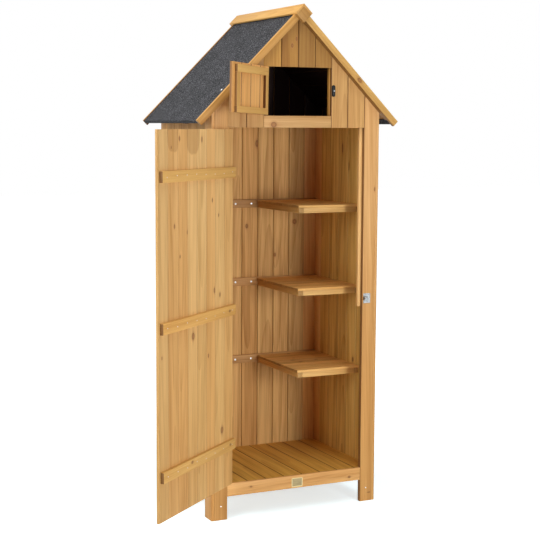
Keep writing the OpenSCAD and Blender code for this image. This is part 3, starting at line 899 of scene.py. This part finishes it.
# %% The felt sheet
felt_thick = 1.3 * mm
felt_points = points("roof_felt")
felt_top = max(out_right.dot(spot) for spot in felt_points)
felt_eave = max(fall_right.dot(spot) for spot in felt_points)
felt_under = min(out_right.dot(spot) for spot in felt_points if spot.x > 300 * mm)
felt_drop = felt_top - felt_under
felt_ends = levels("roof_felt", back)
felt_depth = felt_ends[-1] - felt_ends[0]
felt_middle = (felt_ends[-1] + felt_ends[0]) / 2
ridge_start = -felt_top * math.tan(pitch)
felt_slope = felt_eave - ridge_start
felt_fold = 28 * mm
above_eaves = 1.45

bpy.ops.object.select_all(action="DESELECT")
bpy.ops.mesh.primitive_plane_add(size=1, location=(felt_slope / 2, felt_middle, 0))
felt = bpy.context.object
felt.scale = (felt_slope, felt_depth, 1)
bpy.ops.object.transform_apply(location=True, rotation=False, scale=True)
bpy.ops.object.mode_set(mode="EDIT")
pick(felt, "EDGE", lambda e: all(v.co.x > felt_slope - mm for v in e.verts))
bpy.ops.mesh.extrude_region_move(TRANSFORM_OT_translate={"value": (0, 0, -felt_drop)})
bpy.ops.mesh.extrude_region_move(TRANSFORM_OT_translate={"value": (-felt_fold, 0, 0)})
pick(felt, "EDGE", lambda e: all(v.co.x > felt_slope - mm for v in e.verts) and
     abs(e.verts[0].co.y - e.verts[1].co.y) > mm)
bpy.ops.mesh.bevel(offset=4 * mm, segments=4, affect="EDGES")
bpy.ops.object.mode_set(mode="OBJECT")
axes = Matrix((fall_right, back, out_right)).transposed().to_4x4()
axes.translation = fall_right * ridge_start + out_right * felt_top
felt.matrix_world = axes
bpy.ops.object.transform_apply(location=True, rotation=True, scale=True)
other = copy_of(felt, "felt_left")
only(other)
other.scale = (-1, 1, 1)
bpy.ops.object.transform_apply(location=False, rotation=False, scale=True)
felt = joined([felt, other], "roof_felt_sheet")
bpy.ops.object.mode_set(mode="EDIT")
bpy.ops.mesh.select_all(action="SELECT")
bpy.ops.mesh.remove_doubles(threshold=0.2 * mm)
bpy.ops.mesh.normals_make_consistent(inside=False)
bpy.ops.mesh.subdivide(number_cuts=20)
bpy.ops.object.mode_set(mode="OBJECT")
first = felt.data.polygons[0]
if first.normal.z < 0 and first.center.z > above_eaves:
    felt.data.flip_normals()
print("felt faces:", len(felt.data.polygons))

# %% The felt's waves and thickness
waves = bpy.data.textures.new("felt_waves", "CLOUDS")
waves.noise_scale = 0.16
swell = felt.modifiers.new("waves", "DISPLACE")
swell.texture = waves
swell.texture_coords = "GLOBAL"
swell.strength = 0.6 * mm
swell.mid_level = 1.0
shell = felt.modifiers.new("thickness", "SOLIDIFY")
shell.thickness = felt_thick
shell.offset = -1
only(felt)
for modifier in ("waves", "thickness"):
    bpy.ops.object.modifier_apply(modifier=modifier)
softened(felt)
print("felt faces with thickness:", len(felt.data.polygons))

# %% [markdown]
# ## The felt's mineral face
# Felt is tar with crushed slate pressed into it. The stones are about a millimetre wide, too small and
# too many to model, so noise on the object's own coordinates sets their colours: mostly dark,
# some blue-grey, a few pale. A coarser noise makes the patches where more tar shows.
# Where the sheet turns down over the eaves it faces away from the light, so the fold is painted darker as shade.

# %% The felt's mineral face
def mineral_felt():
    finish, tree, shader = new_finish("mineral_felt")
    spot = node(tree, "ShaderNodeTexCoord", {}).outputs["Object"]
    stones = noise(tree, spot, (620, 620, 620), 1.0)
    clumps = noise(tree, spot, (300, 300, 300), 2.0)
    patches = noise(tree, spot, (14, 14, 14), 3.0)
    level = calc(tree, "MULTIPLY_ADD", clumps, 0.9, calc(tree, "MULTIPLY_ADD", stones, 0.6, -0.25))
    level = calc(tree, "MULTIPLY_ADD", patches, 0.12, calc(tree, "ADD", level, -0.06))
    paint = steps(tree, level, [
        (0.3, colour(5, 5, 6)),
        (0.45, colour(23, 23, 25)),
        (0.55, colour(50, 50, 53)),
        (0.66, colour(128, 128, 133)),
    ])
    facing = node(tree, "ShaderNodeSeparateXYZ", {0: node(tree, "ShaderNodeNewGeometry", {}).outputs["Normal"]})
    # Faces that turn down are painted darker as shade.
    fold_shade = node(tree, "ShaderNodeMapRange", {"Value": facing.outputs["Z"], 1: 0.6, 2: 0.1, 3: 0.0, 4: 1.0})
    paint = mixed(tree, fold_shade.outputs[0], paint.outputs["Color"], (0.5, 0.5, 0.52, 1), "MULTIPLY")
    tree.links.new(paint, shader.inputs["Base Color"])
    shader.inputs["Roughness"].default_value = 0.85
    shader.inputs["Specular IOR Level"].default_value = 0.3
    bump(tree, shader, calc(tree, "ADD", stones, clumps), 0.6, 0.8 * mm)
    return finish


dressed(felt, mineral_felt(), "roof_felt")
print("felt replaces the sheet of the construction model")

# %% [markdown]
# ## The front door
# Eight matched boards are nailed to three ledges, which show on the inner face.
# The door hangs open by 140 degrees, so its own directions are turned by that angle.
# Two patches at the top of its inner face are darker, and the knots stand where the saw left them.

# %% The front door
door_turn = math.radians(-frame["joints"][0]["range_deg"][0])
door_through = Vector((math.sin(door_turn), math.cos(door_turn), 0))
door_boards = 8
door_edge = 1.0 * mm
door_seam = 0.24
door_knots = in_mm([
    (378, 1200, 4, 1.6), (431, 1173, 2.5, 1.5), (227, 1196, 4, 2), (153, 996, 3.5, 1.6), (107, 944, 3, 1.5),
    (412, 927, 4, 1.5), (325, 903, 4, 1.5), (376, 829, 3, 1.5), (138, 695, 4.5, 1.8), (97, 676, 4, 1.6),
    (289, 562, 8, 1.3), (327, 557, 3, 1.6), (495, 523, 3, 1.6), (181, 481, 3.5, 1.6), (181, 413, 3, 1.4),
    (332, 297, 5, 1.6), (81, 208, 8, 1.3),
], 1)
# Two darker patches at the top of the inner face.
door_dark_patches = in_mm([(419, 1229, 38, 70), (288, 1229, 46, 80)])
door_tones = [(1.02, 0.3), (1.1, -1.4), (1.05, 0.8), (1.09, -1.4), (1.05, -0.6), (0.99, 1.6), (0.98, 1.2), (0.98, -0.8)]
door_panel = slab("door_boards", up, door_through)
boards = row_of_boards(
    door_panel, even_joints(door_panel[1].x, door_boards), door_edge, door_seam,
    knots=door_knots, dark_patches=door_dark_patches, tones=door_tones,
)
dressed(joined(boards, "door_boards_wood"), finishes["door"], "door_boards")

door_across = door_through.cross(up)
heights = levels("door_ledges", up)
ledge_edge = 0.8 * mm
# The ledges' ends are end grain, painted darker still as shade.
ledge_shades = (0, 0, 0.85)
ledge_knots = [in_mm([(10, 318, 4, 1.4), (14, 40, 3.5, 1.4)], 1), in_mm([(18, 46, 4, 1.3)], 1), ()]
ledges = []
for bottom, top, knots in zip(heights[::2], heights[1::2], ledge_knots):
    spots = [spot for spot in points("door_ledges") if bottom - mm < spot.z < top + mm]
    ledges.append(batten(measured(spots, door_across, door_through), ledge_edge, (), knots, ledge_shades))
dressed(softened(joined(ledges, "door_ledges_wood")), finishes["ledge"], "door_ledges")
print("door boards:", door_boards, "ledges:", len(ledges))

# %% [markdown]
# ## The loft door
# The small door has four boards and a frame of four battens on its inner face:
# two rails across the whole width, and two stiles between them.
# It hangs open by 143 degrees and a little high at its free edge, so its own directions are turned
# by those two angles. The ends of the frame's battens are end grain and are painted darker still as shade.
# The sides of the frame that look away from the light, and the outer edges of the boards, are painted darker as shade.

# %% The loft door
loft_turn = math.radians(143)
loft_lift = math.radians(1.7)
hang = Matrix.Rotation(-loft_turn, 3, "Z") @ Matrix.Rotation(-loft_lift, 3, "Y")
loft_across, loft_through, loft_up = hang @ right, hang @ back, hang @ up
panel = slab("loft_door_boards", loft_up, loft_through)
loft_joints = [63 * mm, 128 * mm, 193 * mm]
# The outer edges of the loft door's boards are painted darker as shade.
loft_seam, loft_rim = 0.75, 0.5
loft_tones = [(0.97, 4.0), (1.01, 3.6), (0.95, 4.4), (0.99, 4.0)]
boards = row_of_boards(panel, loft_joints, wall_edge, loft_seam, knots=(), tones=loft_tones, rim_shade=loft_rim)
dressed(joined(boards, "loft_door_wood"), finishes["door"], "loft_door_boards")

panel = slab("loft_door_frame", loft_up, loft_through)
wide, deep, tall = panel[1]
low_rail, high_rail, stile = 21 * mm, 25 * mm, 19 * mm
loft_frame_tone = (0.9, 0.2)
place = panel[0]
frame_wood = []
for start, end in ((0, low_rail), (tall - high_rail, tall)):
    ends = [place @ Vector((0, 0, start)), place @ Vector((wide, deep, end))]
    rail = measured(ends, loft_across, loft_through)
    frame_wood.append(batten(rail, ledge_edge, (), (), ledge_shades, loft_frame_tone))
# Painted shade on the side of each stile that looks away from the light.
for start, side_shade in ((0, 0.7), (wide - stile, 0.45)):
    spot = part_of(panel, (start, 0, low_rail), (start + stile, None, tall - high_rail))
    frame_wood.append(batten(spot, ledge_edge, (), (), (0, side_shade, 0), loft_frame_tone))
dressed(softened(joined(frame_wood, "loft_door_frame_wood")), finishes["ledge"], "loft_door_frame")
print("loft door boards:", len(boards), "frame battens:", len(frame_wood))

# %% [markdown]
# ## Zinc steel
# The hinges, the bolt and its keeper keep their slabs' shapes, which are true already.
# Zinc plating is a metal with a slightly uneven shine, so its roughness follows a fine noise.
# Nails and the screws in the wood have a brighter plating than the fittings.

# %% Zinc steel
def zinc_steel(name, dark, light):
    finish, tree, shader = new_finish(name)
    spot = node(tree, "ShaderNodeTexCoord", {}).outputs["Object"]
    spangle = noise(tree, spot, (260, 260, 260), 2.0)
    paint = steps(tree, spangle, [(0.3, dark), (0.7, light)])
    tree.links.new(paint.outputs["Color"], shader.inputs["Base Color"])
    shader.inputs["Metallic"].default_value = 1.0
    shine = node(tree, "ShaderNodeMapRange", {"Value": spangle, 3: 0.3, 4: 0.5})
    tree.links.new(shine.outputs[0], shader.inputs["Roughness"])
    bump(tree, shader, spangle, 0.1, 0.2 * mm)
    return finish


steel = zinc_steel("zinc_steel", colour(130, 130, 131), colour(178, 178, 178))
bright_steel = zinc_steel("bright_zinc_steel", colour(206, 206, 205), colour(240, 240, 240))
fittings = ("post_hinges", "door_hinges", "loft_hinges", "door_bolt", "bolt_keeper")
for name in fittings:
    piece = frame["nodes"][name]
    piece.data.materials.clear()
    piece.data.materials.append(steel)
print("steel pieces:", len(fittings))

# %% [markdown]
# ## Nails and screws
# A fastener shows only its head. A nail's head is a low dome: a sphere that is flattened and cut in half.
# A screw's head is a short cylinder with a soft rim and a recess for the driver.
# Each is modelled once, with few faces, and copied to every spot where the joiner drove one.

# %% Nails and screws
def nail_head(radius):
    bpy.ops.object.select_all(action="DESELECT")
    bpy.ops.mesh.primitive_uv_sphere_add(segments=10, ring_count=6, radius=radius)
    head = bpy.context.object
    bpy.ops.object.mode_set(mode="EDIT")
    bpy.ops.mesh.select_all(action="SELECT")
    bpy.ops.transform.resize(value=(1, 1, 0.5), center_override=(0, 0, 0))
    bpy.ops.mesh.bisect(plane_co=(0, 0, -0.1 * radius), plane_no=(0, 0, -1), use_fill=True, clear_outer=True)
    bpy.ops.object.mode_set(mode="OBJECT")
    return head


def screw_head(radius):
    bpy.ops.object.select_all(action="DESELECT")
    bpy.ops.mesh.primitive_cylinder_add(vertices=16, radius=radius, depth=0.5 * radius, location=(0, 0, 0.2 * radius))
    head = bpy.context.object
    bpy.ops.object.transform_apply(location=True, rotation=False, scale=False)
    bpy.ops.object.mode_set(mode="EDIT")
    pick(head, "FACE", lambda f: f.normal.z > 0.9)
    bpy.ops.mesh.bevel(offset=0.2 * radius, segments=2, affect="EDGES")
    pick(head, "FACE", lambda f: f.normal.z > 0.99)
    bpy.ops.mesh.inset(thickness=0.35 * radius)
    bpy.ops.mesh.extrude_region_move(TRANSFORM_OT_translate={"value": (0, 0, -0.25 * radius)})
    bpy.ops.object.mode_set(mode="OBJECT")
    return head


def driven(model, spots, name, finish, body):
    heads = []
    for spot, outward in spots:
        head = copy_of(model, "head")
        only(head)
        head.matrix_world = Matrix.Translation(spot) @ outward.to_track_quat("Z", "Y").to_matrix().to_4x4()
        bpy.ops.object.transform_apply(location=True, rotation=True, scale=True)
        heads.append(head)
    bpy.data.objects.remove(model)
    made = softened(joined(heads, name))
    made.data.materials.clear()
    made.data.materials.append(finish)
    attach(made, body)
    print(name, len(spots))
    return made


door_place, door_size = door_panel
ledge_place, ledge_size = measured(points("door_ledges"), up, door_through)
ledge_levels = levels("door_ledges", up)
door_pitch = door_size.x / door_boards
nail_spots = []
for bottom, top in zip(ledge_levels[::2], ledge_levels[1::2]):
    for i in range(door_boards):
        local = Vector((i * door_pitch + 27 * mm, door_size.y + ledge_size.y, 0))
        spot = door_place @ local
        spot.z = (bottom + top) / 2 + luck.uniform(-2.5, 2.5) * mm
        nail_spots.append((spot, door_through))
driven(nail_head(1.7 * mm), nail_spots, "door_nails", bright_steel, "front_door")

ledge_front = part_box("back_ledges")[0].y
heights = levels("back_ledges", up)
wall_low, wall_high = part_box("back_wall")
back_pitch = (wall_high.x - wall_low.x) / back_boards
screw_spots = []
for bottom, top in zip(heights[::2], heights[1::2]):
    for i in range(back_boards):
        x = wall_low.x + (i + 0.5) * back_pitch
        screw_spots.append((Vector((x, ledge_front, (bottom + top) / 2)), front))
driven(screw_head(3.8 * mm), screw_spots, "back_ledge_screws", bright_steel, "shed")

# %% Screws of the legs, the keeper and the hinges, and the felt's clout nails
front_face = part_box("front_post_left")[0].y
leg_screw_x, leg_screw_z = 290 * mm, 50 * mm
spots = [(Vector((side * leg_screw_x, front_face, leg_screw_z)), front) for side in (-1, 1)]
driven(screw_head(2.4 * mm), spots, "leg_screws", bright_steel, "shed")

low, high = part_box("bolt_keeper")
plate_face = front_face - 1.5 * mm
margin = 5 * mm
spots = []
for x in (low.x + margin, high.x - margin):
    for z in (low.z + margin, high.z - margin):
        spots.append((Vector((x, plate_face, z)), front))
driven(screw_head(2.2 * mm), spots, "keeper_screws", steel, "shed")

nail_x, nail_y = 281 * mm, -222 * mm
nail_z = felt_top / math.cos(pitch) - nail_x * math.tan(pitch)
spots = [(Vector((-nail_x, nail_y, nail_z)), out_left), (Vector((nail_x, nail_y, nail_z)), out_right)]
driven(nail_head(4 * mm), spots, "felt_nails", bright_steel, "shed")

# %% [markdown]
# ## The turn button
# A black button beside the loft opening keeps the little door shut.
# It starts as a cylinder. Its upper half is moved up and its lower half down, which makes an oval
# with straight sides, and the rim of its face is bevelled to a dome. A screw holds it in the middle.

# %% The turn button
low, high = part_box("turn_button")
centre, size = (low + high) / 2, high - low
bpy.ops.object.select_all(action="DESELECT")
bpy.ops.mesh.primitive_cylinder_add(vertices=32, radius=size.x / 2, depth=size.y, rotation=(math.radians(90), 0, 0))
button = bpy.context.object
bpy.ops.object.transform_apply(location=False, rotation=True, scale=False)
bpy.ops.object.mode_set(mode="EDIT")
stretch = (size.z - size.x) / 2
for sign in (1, -1):
    bpy.ops.mesh.select_mode(type="VERT")
    bpy.ops.mesh.select_all(action="DESELECT")
    shape = bmesh.from_edit_mesh(button.data)
    for vert in shape.verts:
        vert.select_set(sign * vert.co.z > 0.1 * mm)
    shape.select_flush_mode()
    bmesh.update_edit_mesh(button.data)
    bpy.ops.transform.translate(value=(0, 0, sign * stretch))
pick(button, "FACE", lambda f: f.normal.y < -0.9)
bpy.ops.mesh.bevel(offset=0.42 * size.x, offset_type="OFFSET", segments=5, affect="EDGES")
bpy.ops.object.mode_set(mode="OBJECT")
button.matrix_world = Matrix.Translation(centre)
bpy.ops.object.transform_apply(location=True, rotation=False, scale=False)


def black_plastic():
    finish, tree, shader = new_finish("black_plastic")
    spot = node(tree, "ShaderNodeTexCoord", {}).outputs["Object"]
    grit = noise(tree, spot, (900, 900, 900), 2.0)
    paint = steps(tree, grit, [(0.3, colour(12, 12, 13)), (0.7, colour(22, 22, 23))])
    tree.links.new(paint.outputs["Color"], shader.inputs["Base Color"])
    shader.inputs["Specular IOR Level"].default_value = 0.2
    shine = node(tree, "ShaderNodeMapRange", {"Value": grit, 3: 0.3, 4: 0.42})
    tree.links.new(shine.outputs[0], shader.inputs["Roughness"])
    bump(tree, shader, grit, 0.15, 0.2 * mm)
    return finish


dressed(softened(button), black_plastic(), "turn_button").name = "turn_button_oval"
spots = [(Vector((centre.x, low.y, centre.z)), front)]
driven(screw_head(2.8 * mm), spots, "button_screw", steel, "shed")

# %% [markdown]
# ## The small plate
# A pale brass plate is pinned to the sill. It is left blank.
# A cube is flattened to a plate, its corners are bevelled round, and an inset pressed back by a hair
# gives it a raised rim. The rim is rubbed bright and the pressed face is duller.

# %% The small plate
plate_wide, plate_tall, plate_thick = 44 * mm, 33 * mm, 1.2 * mm
plate_spot = Vector((7 * mm, front_face - plate_thick / 2, 103 * mm))
bpy.ops.object.select_all(action="DESELECT")
bpy.ops.mesh.primitive_cube_add(size=1, location=plate_spot, scale=(plate_wide, plate_thick, plate_tall))
plate = bpy.context.object
bpy.ops.object.transform_apply(location=True, rotation=False, scale=True)
bpy.ops.object.mode_set(mode="EDIT")
pick(plate, "EDGE", lambda e: abs(e.verts[0].co.y - e.verts[1].co.y) > 0.5 * mm)
bpy.ops.mesh.bevel(offset=3 * mm, segments=3, affect="EDGES")
pick(plate, "FACE", lambda f: f.normal.y < -0.9)
bpy.ops.mesh.inset(thickness=2.5 * mm)
bpy.ops.mesh.inset(thickness=0.8 * mm)
bpy.ops.transform.translate(value=(0, 0.5 * mm, 0))
bpy.ops.object.mode_set(mode="OBJECT")
plate.name = "blank_plate"


def pale_brass(name, dark, light):
    finish, tree, shader = new_finish(name)
    spot = node(tree, "ShaderNodeTexCoord", {}).outputs["Object"]
    brushed = noise(tree, spot, (40, 40, 1500), 2.0)
    paint = steps(tree, brushed, [(0.3, dark), (0.7, light)])
    tree.links.new(paint.outputs["Color"], shader.inputs["Base Color"])
    shader.inputs["Metallic"].default_value = 0.35
    shine = node(tree, "ShaderNodeMapRange", {"Value": brushed, 3: 0.35, 4: 0.5})
    tree.links.new(shine.outputs[0], shader.inputs["Roughness"])
    return finish


plate.data.materials.append(pale_brass("pale_brass", colour(214, 190, 132), colour(238, 218, 166)))
plate.data.materials.append(pale_brass("worn_brass", colour(140, 122, 82), colour(184, 164, 120)))
for face in plate.data.polygons:
    face.material_index = int(face.normal.y < -0.9 and face.center.y > front_face - 0.9 * plate_thick)
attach(plate, "shed")
spots = [(plate_spot + Vector((side * 18.5 * mm, -plate_thick / 2, 0)), front) for side in (-1, 1)]
driven(nail_head(1.2 * mm), spots, "plate_pins", steel, "shed")

# %% [markdown]
# ## Floor, sky and lamps
# The shed stands in a white studio. The floor is white for the camera and still keeps the shed's shadow:
# near the shed half of its light is its own, and the other half comes from the lamps and is missing
# in the shadow. Further away it glows more, so that it runs into the white of the sky.
# Light that comes back from the pine is warm, so the floor is a little cooler to stay neutral in the shadow.
# For all other rays it is a plain pale floor. The sky is white where it is seen, straight or in metal,
# and gives a faint grey light otherwise. A narrow lamp in front, a little to the right and lower than
# the doorway's top, reaches in as far as the back wall, where the right post throws its shadow.
# A wide one overhead lights the shelves and the floor, one on the left lights the side wall, and one high
# on the left makes the ridge bright. A soft one behind keeps the back and the right side readable.

# %% The floor
bpy.ops.object.select_all(action="DESELECT")
bpy.ops.mesh.primitive_plane_add(size=40)
ground = bpy.context.object
ground.name = "studio_floor"
finish, tree, shader = new_finish("studio_floor")
path = node(tree, "ShaderNodeLightPath", {})
seen = calc(tree, "MAXIMUM", path.outputs["Is Camera Ray"], path.outputs["Is Glossy Ray"])
seen = calc(tree, "MAXIMUM", seen, path.outputs["Is Transmission Ray"])
spot = node(tree, "ShaderNodeTexCoord", {}).outputs["Object"]
away = node(tree, "ShaderNodeVectorMath", {0: spot}, operation="LENGTH").outputs["Value"]
own_light = node(tree, "ShaderNodeMapRange", {"Value": away, 1: 0.5, 2: 1.3, 3: 0.61, 4: 1.0})
glow = node(tree, "ShaderNodeEmission", {"Color": (0.97, 1.0, 1.03, 1), "Strength": own_light.outputs[0]})
matt = node(tree, "ShaderNodeBsdfDiffuse", {"Color": (0.76, 0.96, 1.0, 1)})
white = node(tree, "ShaderNodeAddShader", {0: glow.outputs[0], 1: matt.outputs[0]})
plain = node(tree, "ShaderNodeBsdfDiffuse", {"Color": (0.8, 0.8, 0.8, 1)})
choice = node(tree, "ShaderNodeMixShader", {0: seen, 1: plain.outputs[0], 2: white.outputs[0]})
tree.links.new(choice.outputs[0], tree.nodes["Material Output"].inputs["Surface"])
tree.nodes.remove(shader)
ground.data.materials.append(finish)
ground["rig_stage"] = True
print("floor", ground.name)

# %% The sky
scene.world = scene.world or bpy.data.worlds.new("studio_sky")
scene.world.use_nodes = True
tree = scene.world.node_tree
sky = tree.nodes["Background"]
path = node(tree, "ShaderNodeLightPath", {})
seen = calc(tree, "MAXIMUM", path.outputs["Is Camera Ray"], path.outputs["Is Glossy Ray"])
seen = calc(tree, "MAXIMUM", seen, path.outputs["Is Transmission Ray"])
sky_light = 0.15
strength = node(tree, "ShaderNodeMapRange", {"Value": seen, 3: sky_light, 4: 1.0})
tree.links.new(strength.outputs[0], sky.inputs["Strength"])
sky.inputs["Color"].default_value = (1, 1, 1, 1)
print("sky light", sky_light)

# %% The lamps
target = Vector((0, -0.1, 0.9))
lamps = [
    ("key", Vector((0.42, -4.2, 1.05)), 0.8, 1.3, 76),
    ("overhead", Vector((0.1, -2.0, 4.6)), 3.0, 3.0, 56),
    ("left", Vector((-3.6, -2.0, 2.2)), 1.5, 2.6, 66),
    ("roof", Vector((-3.0, -0.5, 3.8)), 1.6, 1.6, 55),
    ("rear", Vector((2.6, 3.6, 2.4)), 2.4, 2.4, 45),
]
for name, spot, wide, tall, power in lamps:
    facing = (target - spot).to_track_quat("-Z", "Y").to_euler()
    bpy.ops.object.light_add(type="AREA", location=spot, rotation=facing)
    lamp = bpy.context.object
    lamp.name = name + "_lamp"
    lamp.data.shape = "RECTANGLE"
    lamp.data.size = wide
    lamp.data.size_y = tall
    lamp.data.energy = power
    print(lamp.name, power, "W")

# %% [markdown]
# ## The box of the dressed shed
# The dressed shed has to keep inside the box of the construction model.
# The box of everything that is drawn is printed here.

# %% The box of the dressed shed
low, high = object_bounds()
print("visual box in metres:", [round(v, 3) for v in high - low])
